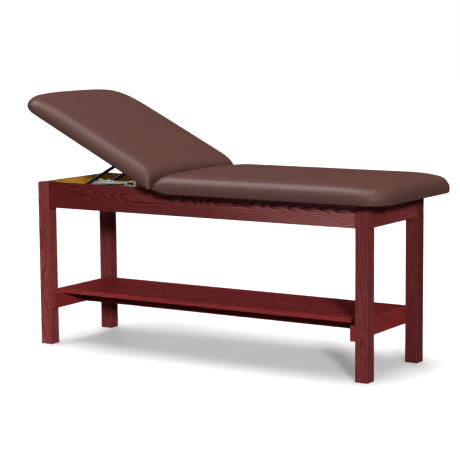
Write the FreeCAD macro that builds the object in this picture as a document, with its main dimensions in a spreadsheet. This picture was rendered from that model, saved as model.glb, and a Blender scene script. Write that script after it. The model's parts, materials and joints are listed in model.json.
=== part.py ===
import FreeCAD, Part
import math
import os
import re

# A wooden treatment table: a leg-and-rail base with an H-brace and a shelf, a fixed seat pad and a
# backrest pad that tilts on a long hinge and is held by a steel arm pair riding in a slotted rack.
# +X points to the foot end, the front side faces -Y, Z is up from the floor. Millimetres and degrees.

SIZES = {
    # base of legs and rails
    "frame_len": 1617,
    "frame_wid": 495,
    "leg_side": 56,
    "leg_ease": 2,
    "rail_top": 715.5,
    "rail_high": 111,
    "rail_thick": 22,
    "rail_set": 5.5,
    "rail_ease": 1.5,
    "tenon_len": 24,
    "tenon_thick": 8,
    "tenon_margin": 14,
    "tenon_gap": 0.15,
    # cross rails and bearers inside the base
    "cross_high": 62,
    "hinge_rail_thick": 40,
    "housing_deep": 6,
    "housing_gap": 0.2,
    "bearer_wide": 40,
    "bearer_high": 34,
    "bearer_inset": 84,
    # corner blocks and their bolts
    "block_thick": 22,
    "block_gap": 3,
    "corner_bolt_radius": 4,
    "corner_bolt_bite": 34,
    "nut_across": 13,
    "nut_high": 6.5,
    "washer_radius": 10,
    "washer_thick": 1.6,
    # H-brace and shelf
    "brace_low": 161,
    "brace_high": 61.5,
    "brace_thick": 22,
    "stretcher_thick": 31,
    "brace_bolt_inset": 26,
    "brace_bolt_radius": 3,
    "brace_bolt_bite": 34,
    "brace_head_radius": 5.5,
    "brace_head_high": 5,
    "socket_across": 5,
    "socket_deep": 2.5,
    "shelf_thick": 18,
    "shelf_side_gap": 3,
    "shelf_reach": 12.5,
    "shelf_screw_y": 120,
    # pads
    "pad_wid": 686,
    "pad_thick": 73,
    "back_thick": 80,
    "seat_len": 1067,
    "back_len": 762,
    "foot_over": 106,
    "board_thick": 19,
    "board_inset": 12,
    "board_hinge_gap": 16,
    "plan_radius": 98,
    "hinge_plan_radius": 8,
    "roll_wide": 46,
    "side_wall": 17,
    "side_tuck": 3,
    "crown": 7,
    "end_round": 52,
    "tip_high": 3,
    "edge_drop": 12,
    "edge_lip": 60,
    "edge_start": 15,
    "edge_full": 75,
    "seat_screw_y": 150,
    # backrest hinge
    "rest_tilt": 26.5,
    "max_tilt": 53,
    "bevel_spare": 0.5,
    "bevel_gap": 1.5,
    "back_gap": 0.5,
    "knuckle_radius": 3.5,
    "knuckle_gap": 0.4,
    "hinge_pin_radius": 1.75,
    "hinge_fit": 0.05,
    "hinge_len": 405,
    "leaf_thick": 1.5,
    "leaf_wide": 44,
    "leaf_clear": 0.5,
    "hinge_side_gap": 0.3,
    "hinge_screw_line": 32,
    # support arms, their brackets and the slotted rack
    "lug_arm": 300,
    "lug_drop": 28,
    "arm_len": 281,
    "arm_ratio": 1.1,
    "arm_spread": 200,
    "rod_radius": 6,
    "arm_radius": 7.5,
    "eye_radius": 10,
    "eye_wide": 20,
    "pivot_pin_radius": 4,
    "pivot_fit": 0.05,
    "pin_head_radius": 6.5,
    "pin_head_thick": 2,
    "ear_thick": 3,
    "ear_radius": 10,
    "ear_gap": 0.5,
    "bracket_flange": 24,
    "bracket_wide": 44,
    "rack_drop": 60.5,
    "rack_spread": 60,
    "rack_thick": 3,
    "rack_foot": 26,
    "rack_head_gap": 6,
    "rack_lip": 12,
    "rack_dip": 7,
    "slot_clear": 0.5,
    "notch_deep": 4.5,
    # wood screws
    "screw_radius": 2,
    "screw_head_radius": 4,
    "screw_head_high": 2,
    "screw_bite": 14,
    "screw_fit": 0.05,
}
KNUCKLES = 9
LOCK_STEPS = 8
HINGE_SCREWS = 4

doc = FreeCAD.newDocument("treatment_table")
sheet = doc.addObject("Spreadsheet::Sheet", "Sizes")
for row, (alias, number) in enumerate(SIZES.items(), 1):
    sheet.set(f"A{row}", str(number))
    sheet.setAlias(f"A{row}", alias)
doc.recompute()

# Places that follow from the sizes, kept as bound properties that the pieces refer to.
PLACES = {
    "half_box": "(seat_len + back_len * cos(rest_tilt * 1deg) - knuckle_radius * sin(rest_tilt * 1deg)) / 2",
    "hinge_x": "half_box - seat_len",
    "hinge_z": "rail_top + back_gap - knuckle_radius",
    "frame_x": "half_box - foot_over - frame_len / 2",
    "rail_in": "rail_set + rail_thick",
    "inner_wid": "frame_wid - 2 * rail_in",
    "cross_len": "inner_wid + 2 * (housing_deep - housing_gap)",
    "leaf_back": "knuckle_radius + hinge_side_gap",
    "hinge_rail_x": "hinge_x + leaf_back + hinge_rail_thick / 2",
    "seat_rail_x": "(hinge_x + frame_x + frame_len / 2) / 2",
    "bearer_top": "rail_top - rack_drop",
    "rack_left": "hinge_x - lug_arm - arm_len - rod_radius",
    "full_arm": "max_tilt * arm_ratio",
    "rack_right": "hinge_x - lug_arm * cos(max_tilt * 1deg) - lug_drop * sin(max_tilt * 1deg)"
                  " - arm_len * cos(full_arm * 1deg) + rod_radius + rack_lip",
    "bearer_head_x": "rack_left + bearer_inset",
    "bearer_foot_x": "rack_right - bearer_wide / 2",
    "rack_face": "rack_spread / 2",
    "lug_x": "hinge_x - lug_arm * cos(rest_tilt * 1deg) - lug_drop * sin(rest_tilt * 1deg)",
    "lug_z": "hinge_z + lug_arm * sin(rest_tilt * 1deg) - lug_drop * cos(rest_tilt * 1deg)",
    "block_high": "rack_drop - 2 * block_gap",
    "block_half": "sqrt(2) * (leg_side - rail_in)",
    "block_z": "rail_top - rack_drop + block_gap",
    "bolt_z": "rail_top - rack_drop / 2",
    "brace_z": "brace_low + brace_high / 2",
    "shelf_low": "brace_low + brace_high",
    "ear_in": "eye_wide / 2 + ear_gap",
    "ear_out": "ear_in + ear_thick",
}
layout = doc.addObject("App::VarSet", "Layout")


def formula(text):
    """Return an expression whose plain size and place names point at the sheet and the layout."""
    def owner(match):
        name = match.group(0)
        if name in SIZES:
            return f"Sizes.{name}"
        if name in PLACES:
            return f"Layout.{name}"
        return name
    return re.sub(r"[a-z][a-z_0-9]*", owner, str(text))


for name, text in PLACES.items():
    layout.addProperty("App::PropertyFloat", name)
    layout.setExpression(name, formula(text))
    doc.recompute()


def size(name):
    """Return the present number of a size or a place."""
    return float(getattr(layout, name) if name in PLACES else sheet.get(name))


X_AXIS = FreeCAD.Vector(1, 0, 0)
Y_AXIS = FreeCAD.Vector(0, 1, 0)
Z_AXIS = FreeCAD.Vector(0, 0, 1)
ENDS = {"head": -1, "foot": 1}
SIDES = {"front": -1, "back": 1}
CROSS_RAILS = {"hinge_cross_rail": ("hinge_rail_x", "hinge_rail_thick"),
               "seat_cross_rail": ("seat_rail_x", "rail_thick")}


def signed(sign, text):
    """Return a formula with the sign of an end or a side in front."""
    return f"{sign} * ({text})"


def put(item, x, y, z):
    """Bind the place of an object or a feature."""
    for axis, text in zip("xyz", (x, y, z)):
        item.setExpression(f"Placement.Base.{axis}", formula(text))


def new_body(label, x=0, y=0, z=0):
    """Start a sub-part whose own origin stands at the given place."""
    made = doc.addObject("PartDesign::Body", label)
    put(made, x, y, z)
    return made


def box(body, kind, long, wide, high, x=0, y=0, z=0):
    """Add or cut a box that is centred on x and y and stands on z."""
    made = body.newObject(f"PartDesign::{kind}Box", "Block")
    made.setExpression("Length", formula(long))
    made.setExpression("Width", formula(wide))
    made.setExpression("Height", formula(high))
    put(made, f"{x} - ({long}) / 2", f"{y} - ({wide}) / 2", z)
    return made


def cylinder(body, kind, radius, long, axis, x=0, y=0, z=0):
    """Add or cut a cylinder that starts at the place and runs along the axis."""
    made = body.newObject(f"PartDesign::{kind}Cylinder", "Round")
    made.Placement = FreeCAD.Placement(FreeCAD.Vector(), FreeCAD.Rotation(Z_AXIS, axis))
    made.setExpression("Radius", formula(radius))
    made.setExpression("Height", formula(long))
    put(made, x, y, z)
    return made


def ease(body, radius, along, wanted=lambda edge: True):
    """Round the straight edges of the last feature that run along one direction."""
    doc.recompute()
    tip = body.Tip
    names = []
    for count, edge in enumerate(tip.Shape.Edges, 1):
        run = edge.Vertexes[-1].Point - edge.Vertexes[0].Point
        if run.Length and abs(run.dot(along)) > 0.999 * run.Length and wanted(edge):
            names.append(f"Edge{count}")
    made = body.newObject("PartDesign::Fillet", "Ease")
    made.Base = (tip, names)
    made.setExpression("Radius", formula(radius))
    doc.recompute()


def group(label, solids):
    """Make one sub-part of several separate solids that are alike."""
    made = doc.addObject("Part::Feature", label)
    made.Shape = Part.makeCompound(solids)
    return made


def leg(end, side):
    """One leg, mortised for two rails and bored for its corner bolt and brace bolt."""
    sx = ENDS[end]
    sy = SIDES[side]
    made = new_body(f"leg_{end}_{side}", f"frame_x + {signed(sx, '(frame_len - leg_side) / 2')}",
                    signed(sy, "(frame_wid - leg_side) / 2"))
    box(made, "Additive", "leg_side", "leg_side", "rail_top")
    ease(made, "leg_ease", Z_AXIS)
    deep = "(tenon_len + tenon_gap)"
    thick = "(tenon_thick + 2 * tenon_gap)"
    high = "rail_high - 2 * (tenon_margin - tenon_gap)"
    low = "rail_top - rail_high + tenon_margin - tenon_gap"
    reach = f"(leg_side - {deep}) / 2"
    shift = "leg_side / 2 - rail_set - rail_thick / 2"
    box(made, "Subtractive", deep, thick, high, signed(-sx, reach), signed(sy, shift), low)
    box(made, "Subtractive", thick, deep, high, signed(sx, shift), signed(-sy, reach), low)
    inward = FreeCAD.Vector(sx, sy, 0)
    cylinder(made, "Subtractive", "corner_bolt_radius + screw_fit", "corner_bolt_bite + screw_fit", inward,
             signed(-sx, "leg_side / 2"), signed(-sy, "leg_side / 2"), "bolt_z")
    cylinder(made, "Subtractive", "brace_bolt_radius + screw_fit", "brace_bolt_bite + screw_fit", X_AXIS * sx,
             signed(-sx, "leg_side / 2"), signed(sy, "leg_side / 2 - brace_bolt_inset"), "brace_z")


def side_rail(side):
    """A long rail with tenons and with housings for the cross rails and bearers on its inner face."""
    sy = SIDES[side]
    made = new_body(f"side_rail_{side}", "frame_x",
                    signed(sy, "frame_wid / 2 - rail_set - rail_thick / 2"), "rail_top - rail_high")
    run = "(frame_len - 2 * leg_side)"
    box(made, "Additive", run, "rail_thick", "rail_high")
    ease(made, "rail_ease", X_AXIS)
    for sign in ENDS.values():
        box(made, "Additive", "tenon_len", "tenon_thick", "rail_high - 2 * tenon_margin",
            signed(sign, f"({run} + tenon_len) / 2"), 0, "tenon_margin")
    groove = signed(-sy, "(rail_thick - housing_deep) / 2")
    for place, thick in CROSS_RAILS.values():
        box(made, "Subtractive", f"{thick} + 2 * housing_gap", "housing_deep", "cross_high + housing_gap",
            f"{place} - frame_x", groove, "rail_high - cross_high - housing_gap")
    for place in ("bearer_head_x", "bearer_foot_x"):
        box(made, "Subtractive", "bearer_wide + 2 * housing_gap", "housing_deep",
            "bearer_high + 2 * housing_gap", f"{place} - frame_x", groove,
            "rail_high - rack_drop - bearer_high - housing_gap")


def end_rail(end):
    """A short rail with a tenon at each end."""
    sx = ENDS[end]
    made = new_body(f"{end}_rail", f"frame_x + {signed(sx, 'frame_len / 2 - rail_set - rail_thick / 2')}",
                    0, "rail_top - rail_high")
    run = "(frame_wid - 2 * leg_side)"
    box(made, "Additive", "rail_thick", run, "rail_high")
    ease(made, "rail_ease", Y_AXIS)
    for sign in SIDES.values():
        box(made, "Additive", "tenon_thick", "tenon_len", "rail_high - 2 * tenon_margin",
            0, signed(sign, f"({run} + tenon_len) / 2"), "tenon_margin")


def corner_block(end, side):
    """A mitred block that braces a rail corner in front of the leg."""
    sx = ENDS[end]
    sy = SIDES[side]
    made = doc.addObject("PartDesign::Body", f"corner_block_{end}_{side}")
    turn = FreeCAD.Rotation(Y_AXIS, FreeCAD.Vector(-sx, -sy, 0))
    made.Placement = FreeCAD.Placement(FreeCAD.Vector(), turn)
    put(made, f"frame_x + {signed(sx, 'frame_len / 2 - leg_side')}", signed(sy, "frame_wid / 2 - leg_side"),
        "block_z")
    wedge = made.newObject("PartDesign::AdditiveWedge", "Block")
    limits = {"Xmin": "-block_half", "Xmax": "block_half", "Ymin": "0", "Ymax": "block_thick",
              "Zmin": "0", "Zmax": "block_high", "Z2min": "0", "Z2max": "block_high",
              "X2min": "-block_half - block_thick", "X2max": "block_half + block_thick"}
    for limit, text in limits.items():
        wedge.setExpression(limit, formula(text))
    cylinder(made, "Subtractive", "corner_bolt_radius + screw_fit", "block_thick", Y_AXIS,
             0, 0, "bolt_z - block_z")


def corner_fasteners():
    """The hanger bolts through the corner blocks, and their nuts on washers."""
    bolts = []
    nuts = []
    past = size("block_thick") + size("washer_thick") + size("nut_high") + size("corner_bolt_radius")
    bolt = Part.makeCylinder(size("corner_bolt_radius"), size("corner_bolt_bite") + past)
    bolt.translate(FreeCAD.Vector(0, 0, -size("corner_bolt_bite")))
    washer = Part.makeCylinder(size("washer_radius"), size("washer_thick"))
    nut = hexagon(size("nut_across"), size("nut_high"))
    nut.translate(FreeCAD.Vector(0, 0, size("washer_thick")))
    nut = washer.fuse(nut)
    thread = size("corner_bolt_radius") + size("screw_fit")
    nut = nut.cut(Part.makeCylinder(thread, size("washer_thick") + size("nut_high"))).removeSplitter()
    nut.translate(FreeCAD.Vector(0, 0, size("block_thick")))
    for sx in ENDS.values():
        for sy in SIDES.values():
            spot = FreeCAD.Vector(size("frame_x") + sx * (size("frame_len") / 2 - size("leg_side")),
                                  sy * (size("frame_wid") / 2 - size("leg_side")), size("bolt_z"))
            stand = FreeCAD.Placement(spot, FreeCAD.Rotation(Z_AXIS, FreeCAD.Vector(-sx, -sy, 0)))
            bolts.append(bolt.transformed(stand.toMatrix(), True))
            nuts.append(nut.transformed(stand.toMatrix(), True))
    group("corner_bolts", bolts)
    group("corner_nuts", nuts)


def hexagon(across, high):
    """A hexagonal prism on the ground plane, given its width across flats."""
    reach = across / math.sqrt(3)
    corners = [FreeCAD.Vector(reach * math.cos(math.radians(60 * turn)),
                              reach * math.sin(math.radians(60 * turn)), 0) for turn in range(7)]
    return Part.Face(Part.makePolygon(corners)).extrude(Z_AXIS * high)


def screw(spot, axis, shank, socket=False):
    """A screw or bolt: its head's outer face stands at the spot and it is driven along the axis."""
    bolt = "brace_bolt_radius" if socket else "screw_radius"
    head_radius = size("brace_head_radius" if socket else "screw_head_radius")
    head_high = size("brace_head_high" if socket else "screw_head_high")
    made = Part.makeCylinder(head_radius, head_high)
    if socket:
        made = made.cut(hexagon(size("socket_across"), size("socket_deep")))
    stem = Part.makeCylinder(size(bolt), shank, Z_AXIS * head_high)
    made = made.fuse(stem).removeSplitter()
    stand = FreeCAD.Placement(spot, FreeCAD.Rotation(Z_AXIS, axis))
    return made.transformed(stand.toMatrix(), True)


def cross_rails():
    """The two rails across the base: one behind the hinge, one under the middle of the seat."""
    for label, (place, thick) in CROSS_RAILS.items():
        made = new_body(label, place, 0, "rail_top - cross_high")
        box(made, "Additive", thick, "cross_len", "cross_high")
        for sign in SIDES.values():
            spot = signed(sign, "seat_screw_y")
            cylinder(made, "Subtractive", "screw_radius + screw_fit", "cross_high", Z_AXIS, 0, spot)
            cylinder(made, "Subtractive", "screw_head_radius + screw_fit", "cross_high / 2 + screw_head_high",
                     Z_AXIS, 0, spot)
        if label == "hinge_cross_rail":
            for place_y in hinge_screw_places():
                cylinder(made, "Subtractive", "screw_radius + screw_fit", "screw_bite + screw_fit", X_AXIS,
                         "-hinge_rail_thick / 2", place_y,
                         "hinge_z - hinge_screw_line - rail_top + cross_high")


def hinge_screw_places():
    """Formulas for the places along the hinge where each leaf is screwed on."""
    return [f"hinge_len * {(count + 0.5) / HINGE_SCREWS - 0.5}" for count in range(HINGE_SCREWS)]


def seat_screws():
    """The screws that hold the seat board, sunk half way up the cross rails."""
    solids = []
    for place, _ in CROSS_RAILS.values():
        for sign in SIDES.values():
            low = size("rail_top") - size("cross_high") / 2
            spot = FreeCAD.Vector(size(place), sign * size("seat_screw_y"), low)
            solids.append(screw(spot, Z_AXIS, seat_screw_shank()))
    group("seat_board_screws", solids)


def seat_screw_shank():
    """The length of a seat screw below its head."""
    return size("cross_high") / 2 - size("screw_head_high") + size("screw_bite")


def bearers():
    """The two bearers across the base that carry the rack."""
    for end in ENDS:
        made = new_body(f"rack_bearer_{end}", f"bearer_{end}_x", 0, "bearer_top - bearer_high")
        box(made, "Additive", "bearer_wide", "cross_len", "bearer_high")
        for sign in SIDES.values():
            cylinder(made, "Subtractive", "screw_radius + screw_fit", "screw_bite + screw_fit", -Z_AXIS,
                     0, signed(sign, "rack_face + rack_foot / 2"), "bearer_high")


def cleat(end):
    """A board across a pair of legs, bored for its bolts, the stretcher's screw and the shelf's screws."""
    sx = ENDS[end]
    made = new_body(f"cleat_{end}", f"frame_x + {signed(sx, 'frame_len / 2 - leg_side - brace_thick / 2')}",
                    0, "brace_low")
    box(made, "Additive", "brace_thick", "frame_wid", "brace_high")
    ease(made, "rail_ease", Y_AXIS)
    inner = signed(-sx, "brace_thick / 2")
    outer = signed(sx, "brace_thick / 2")
    for sign in SIDES.values():
        spot = signed(sign, "frame_wid / 2 - brace_bolt_inset")
        cylinder(made, "Subtractive", "brace_bolt_radius + screw_fit", "brace_thick", X_AXIS * sx,
                 inner, spot, "brace_high / 2")
        cylinder(made, "Subtractive", "brace_head_radius + screw_fit", "brace_head_high", X_AXIS * sx,
                 inner, spot, "brace_high / 2")
        rise = signed(sign, "shelf_screw_y")
        cylinder(made, "Subtractive", "screw_radius + screw_fit", "brace_high", Z_AXIS, 0, rise)
        cylinder(made, "Subtractive", "screw_head_radius + screw_fit", "brace_high / 2 + screw_head_high",
                 Z_AXIS, 0, rise)
    cylinder(made, "Subtractive", "screw_radius + screw_fit", "brace_thick", X_AXIS * -sx,
             outer, 0, "brace_high / 2")
    cylinder(made, "Subtractive", "screw_head_radius + screw_fit", "screw_head_high", X_AXIS * -sx,
             outer, 0, "brace_high / 2")


def stretcher():
    """The board that joins the two cleats under the shelf."""
    run = "(frame_len - 2 * leg_side - 2 * brace_thick)"
    made = new_body("center_stretcher", "frame_x", 0, "brace_low")
    box(made, "Additive", run, "stretcher_thick", "brace_high")
    ease(made, "rail_ease", X_AXIS)
    for sx in ENDS.values():
        cylinder(made, "Subtractive", "screw_radius + screw_fit", "screw_bite + screw_fit", X_AXIS * -sx,
                 signed(sx, f"{run} / 2"), 0, "brace_high / 2")


def shelf():
    """The shelf board, which lies on the brace between the legs."""
    made = new_body("shelf", "frame_x", 0, "shelf_low")
    box(made, "Additive", "frame_len - 2 * (leg_side - shelf_reach)",
        "frame_wid - 2 * (leg_side + shelf_side_gap)", "shelf_thick")
    ease(made, "rail_ease", X_AXIS)
    for sx in ENDS.values():
        for sy in SIDES.values():
            cylinder(made, "Subtractive", "screw_radius + screw_fit", "screw_bite + screw_fit", Z_AXIS,
                     signed(sx, "frame_len / 2 - leg_side - brace_thick / 2"), signed(sy, "shelf_screw_y"))


def brace_fasteners():
    """The black bolts into the legs, the screws into the stretcher and the screws into the shelf."""
    bolts = []
    stretcher_screws = []
    shelf_screws = []
    middle = size("brace_z")
    rise = size("brace_high") / 2 - size("screw_head_high") + size("screw_bite")
    for sx in ENDS.values():
        outer = size("frame_x") + sx * (size("frame_len") / 2 - size("leg_side"))
        inner = outer - sx * size("brace_thick")
        for sy in SIDES.values():
            spot = FreeCAD.Vector(inner, sy * (size("frame_wid") / 2 - size("brace_bolt_inset")), middle)
            shank = size("brace_thick") - size("brace_head_high") + size("brace_bolt_bite")
            bolts.append(screw(spot, X_AXIS * sx, shank, socket=True))
            spot = FreeCAD.Vector((outer + inner) / 2, sy * size("shelf_screw_y"), middle)
            shelf_screws.append(screw(spot, Z_AXIS, rise))
        shank = size("brace_thick") - size("screw_head_high") + size("screw_bite")
        stretcher_screws.append(screw(FreeCAD.Vector(outer, 0, middle), X_AXIS * -sx, shank))
    group("brace_bolts", bolts)
    group("stretcher_screws", stretcher_screws)
    group("shelf_screws", shelf_screws)


def tilted(made, x, z, angle):
    """Stand a piece of the backrest or the support at an axis and turn it about that axis."""
    made.Placement = FreeCAD.Placement(FreeCAD.Vector(), FreeCAD.Rotation(Y_AXIS, 1))
    put(made, x, 0, z)
    made.setExpression("Placement.Rotation.Angle", formula(angle))
    return made


def board(label, long, toward, low):
    """A pad's plywood board, measured from the hinge line, with two rounded corners at its free end."""
    made = doc.addObject("PartDesign::Body", label)
    run = f"({long} - board_hinge_gap - board_inset)"
    box(made, "Additive", run, "pad_wid - 2 * board_inset", "board_thick",
        signed(toward, f"board_hinge_gap + {run} / 2"), 0, low)
    ease(made, "plan_radius - board_inset", Z_AXIS,
         lambda edge: edge.CenterOfMass.x * toward > size("plan_radius"))
    return made


def seat_board():
    """The seat's board on the rails."""
    made = board("seat_board", "seat_len", 1, "knuckle_radius - back_gap")
    put(made, "hinge_x", 0, "hinge_z")
    for place, _ in CROSS_RAILS.values():
        for sy in SIDES.values():
            cylinder(made, "Subtractive", "screw_radius + screw_fit", "screw_bite + screw_fit", Z_AXIS,
                     f"{place} - hinge_x", signed(sy, "seat_screw_y"), "knuckle_radius - back_gap")
    return made


def backrest_board():
    """The backrest's board, bored for the hinge leaf's screws and the brackets' screws."""
    made = board("backrest_board", "back_len", -1, "knuckle_radius")
    for place_y in hinge_screw_places():
        cylinder(made, "Subtractive", "screw_radius + screw_fit", "screw_bite + screw_fit", Z_AXIS,
                 "-hinge_screw_line", place_y, "knuckle_radius")
    for side in SIDES:
        for x, y in bracket_screw_places(side):
            cylinder(made, "Subtractive", "screw_radius + screw_fit", "screw_bite + screw_fit", Z_AXIS,
                     x, y, "knuckle_radius")
    return tilted(made, "hinge_x", "hinge_z", "rest_tilt")


def pad_stations(long, low, top):
    """Sections of a pad from the hinge to its free end: distance, half width and top above the bottom.

    The hinge end leans back by half the full tilt and rolls over into the top. The free end has round
    corners in plan, and its top edge rolls down to a low wall.
    """
    half = size("pad_wid") / 2
    lean = math.radians(size("max_tilt") / 2 + size("bevel_spare"))
    offset = size("bevel_gap") / math.cos(lean)
    tip = (size("tip_high") + low) * math.tan(lean) + offset
    turn = math.pi / 2 - lean
    roll_end = (top + low) * math.tan(lean) + offset + size("end_round") * math.tan(turn / 2)
    corner = size("hinge_plan_radius")
    stations = [(tip, half - corner, size("tip_high"))]
    steps = 4
    for step in range(steps, -1, -1):
        angle = turn * step / steps
        along = roll_end - size("end_round") * math.sin(angle)
        inset = max(0, corner - along + tip)
        wide = half - corner + math.sqrt(corner ** 2 - inset ** 2)
        stations.append((along, wide, top - size("end_round") * (1 - math.cos(angle))))
    corner = size("plan_radius")
    steps = 6
    for step in range(steps, -1, -1):
        angle = math.pi / 2 * step / steps
        from_end = corner * (1 - math.cos(angle))
        rolled = max(0, 1 - from_end / size("roll_wide"))
        wall = size("side_wall") + size("tip_high")
        high = wall + (top - wall) * math.sqrt(1 - rolled ** 2)
        stations.append((long - from_end, half - corner * (1 - math.sin(angle)), high))
    return stations


def pad_section(along, half, top, share):
    """One closed section of a pad: flat bottom, tucked walls, rolled shoulders and a crowned top."""
    wall = size("side_wall") * share
    shoulder = top - size("crown") * share
    roll = size("roll_wide") * share
    tuck = size("side_tuck") * share
    bend = math.sqrt(0.5)

    def spot(y, z):
        return FreeCAD.Vector(along, y, z)

    edges = [Part.LineSegment(spot(-half + tuck, 0), spot(half - tuck, 0)),
             Part.LineSegment(spot(half - tuck, 0), spot(half, wall)),
             Part.Arc(spot(half, wall), spot(half - roll * (1 - bend), wall + (shoulder - wall) * bend),
                      spot(half - roll, shoulder)),
             Part.Arc(spot(half - roll, shoulder), spot(0, top), spot(roll - half, shoulder)),
             Part.Arc(spot(roll - half, shoulder),
                      spot(roll * (1 - bend) - half, wall + (shoulder - wall) * bend), spot(-half, wall)),
             Part.LineSegment(spot(-half, wall), spot(-half + tuck, 0))]
    return Part.Wire([edge.toShape() for edge in edges])


def cushion(label, long, toward, low, thick, backing):
    """A pad's upholstered cushion: a crowned loft with its board let in."""
    sections = [pad_section(toward * along, half, top, top / thick)
                for along, half, top in pad_stations(long, low, thick)]
    shape = Part.makeLoft(sections, True, True)
    shape.translate(Z_AXIS * low)
    plain = backing.Shape.copy()
    plain.Placement = FreeCAD.Placement()
    room = plain.BoundBox
    let_in = Part.makeBox(room.XLength, room.YLength, room.ZLength,
                          FreeCAD.Vector(room.XMin, room.YMin, room.ZMin))
    rounded = [edge for edge in let_in.Edges
               if abs(edge.Vertexes[0].Z - edge.Vertexes[1].Z) > size("board_thick") / 2
               and edge.CenterOfMass.x * toward > size("plan_radius")]
    let_in = let_in.makeFillet(size("plan_radius") - size("board_inset"), rounded)
    made = doc.addObject("Part::Feature", label)
    made.Shape = shape.cut(let_in)
    return made


def under_seat(low):
    """The room under the seat that its padded edge hangs round, open and sloping up towards the hinge."""
    half = size("pad_wid") / 2
    lip = size("edge_lip")
    drop = size("edge_drop")
    between = Part.makeBox(size("seat_len") - lip, 2 * (half - lip), drop,
                           FreeCAD.Vector(0, lip - half, low - drop))
    rounded = [edge for edge in between.Edges
               if abs(edge.Vertexes[0].Z - edge.Vertexes[1].Z) > drop / 2 and edge.CenterOfMass.x > lip]
    between = between.makeFillet(size("plan_radius") - lip, rounded)
    outline = [(-lip, low - drop), (-lip, low), (size("edge_start"), low), (size("edge_full"), low - drop)]
    corners = [FreeCAD.Vector(x, -size("pad_wid"), z) for x, z in outline]
    slope = Part.Face(Part.makePolygon(corners + corners[:1])).extrude(Y_AXIS * 2 * size("pad_wid"))
    return between.fuse(slope)


def pads():
    """Both pads: the seat fixed on the rails, the backrest turned up about the hinge."""
    seat_backing = seat_board()
    back_backing = backrest_board()
    doc.recompute()
    low = size("knuckle_radius") - size("back_gap")
    drop = size("edge_drop")
    seat = cushion("seat_cushion", size("seat_len"), 1, low - drop, size("pad_thick") + drop, seat_backing)
    seat.Shape = seat.Shape.cut(under_seat(low))
    put(seat, "hinge_x", 0, "hinge_z")
    back = cushion("backrest_cushion", size("back_len"), -1, size("knuckle_radius"), size("back_thick"),
                   back_backing)
    tilted(back, "hinge_x", "hinge_z", "rest_tilt")


def knuckle_starts(first):
    """Formulas for the starts of every second knuckle along the hinge."""
    return [f"hinge_len * {count / KNUCKLES - 0.5} + knuckle_gap / 2" for count in range(first, KNUCKLES, 2)]


def hinge():
    """The long hinge: a leaf on the cross rail, a leaf under the backrest's board and the pin."""
    knuckle = f"(hinge_len / {KNUCKLES} - knuckle_gap)"
    clear = "(knuckle_radius + leaf_clear)"
    fixed = new_body("hinge_leaf_fixed", "hinge_x", 0, "hinge_z")
    middle = "leaf_back - leaf_thick / 2"
    box(fixed, "Additive", "leaf_thick", "hinge_len", f"leaf_wide - {clear}", middle, 0, "-leaf_wide")
    moving = doc.addObject("PartDesign::Body", "hinge_leaf_moving")
    box(moving, "Additive", f"leaf_wide - {clear}", "hinge_len", "leaf_thick",
        f"-(leaf_wide + {clear}) / 2", 0, "knuckle_radius - leaf_thick")
    for start in knuckle_starts(0):
        box(fixed, "Additive", "leaf_thick", knuckle, clear, middle, f"{start} + {knuckle} / 2", f"-{clear}")
        cylinder(fixed, "Additive", "knuckle_radius", knuckle, Y_AXIS, 0, start)
    for start in knuckle_starts(1):
        box(moving, "Additive", clear, knuckle, "leaf_thick", f"-{clear} / 2", f"{start} + {knuckle} / 2",
            "knuckle_radius - leaf_thick")
        cylinder(moving, "Additive", "knuckle_radius", knuckle, Y_AXIS, 0, start)
    for leaf in (fixed, moving):
        cylinder(leaf, "Subtractive", "hinge_pin_radius + hinge_fit", "hinge_len", Y_AXIS,
                 0, "-hinge_len / 2")
    for place_y in hinge_screw_places():
        cylinder(fixed, "Subtractive", "screw_radius + screw_fit", "leaf_thick", X_AXIS,
                 "leaf_back - leaf_thick", place_y, "-hinge_screw_line")
        cylinder(moving, "Subtractive", "screw_radius + screw_fit", "leaf_thick", Z_AXIS,
                 "-hinge_screw_line", place_y, "knuckle_radius - leaf_thick")
    tilted(moving, "hinge_x", "hinge_z", "rest_tilt")
    pin = new_body("hinge_pin", "hinge_x", 0, "hinge_z")
    cylinder(pin, "Additive", "hinge_pin_radius", "hinge_len", Y_AXIS, 0, "-hinge_len / 2")


def hinge_screws():
    """The screws of both hinge leaves, each leaf's set on its own body."""
    fixed = []
    moving = []
    shank = size("screw_bite") + size("leaf_thick")
    for count in range(HINGE_SCREWS):
        y = size("hinge_len") * ((count + 0.5) / HINGE_SCREWS - 0.5)
        seat = size("leaf_back") - size("leaf_thick") - size("screw_head_high")
        fixed.append(screw(FreeCAD.Vector(seat, y, -size("hinge_screw_line")), X_AXIS, shank))
        seat = size("knuckle_radius") - size("leaf_thick") - size("screw_head_high")
        moving.append(screw(FreeCAD.Vector(-size("hinge_screw_line"), y, seat), Z_AXIS, shank))
    put(group("hinge_screws_fixed", fixed), "hinge_x", 0, "hinge_z")
    tilted(group("hinge_screws_moving", moving), "hinge_x", "hinge_z", "rest_tilt")


def bracket_screw_places(side):
    """Formulas for the screws in a pivot bracket's two flanges."""
    middle = signed(SIDES[side], "arm_spread / 2")
    return [("-lug_arm", f"{middle} {flange} (ear_out + bracket_flange / 2)") for flange in "+-"]


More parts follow.
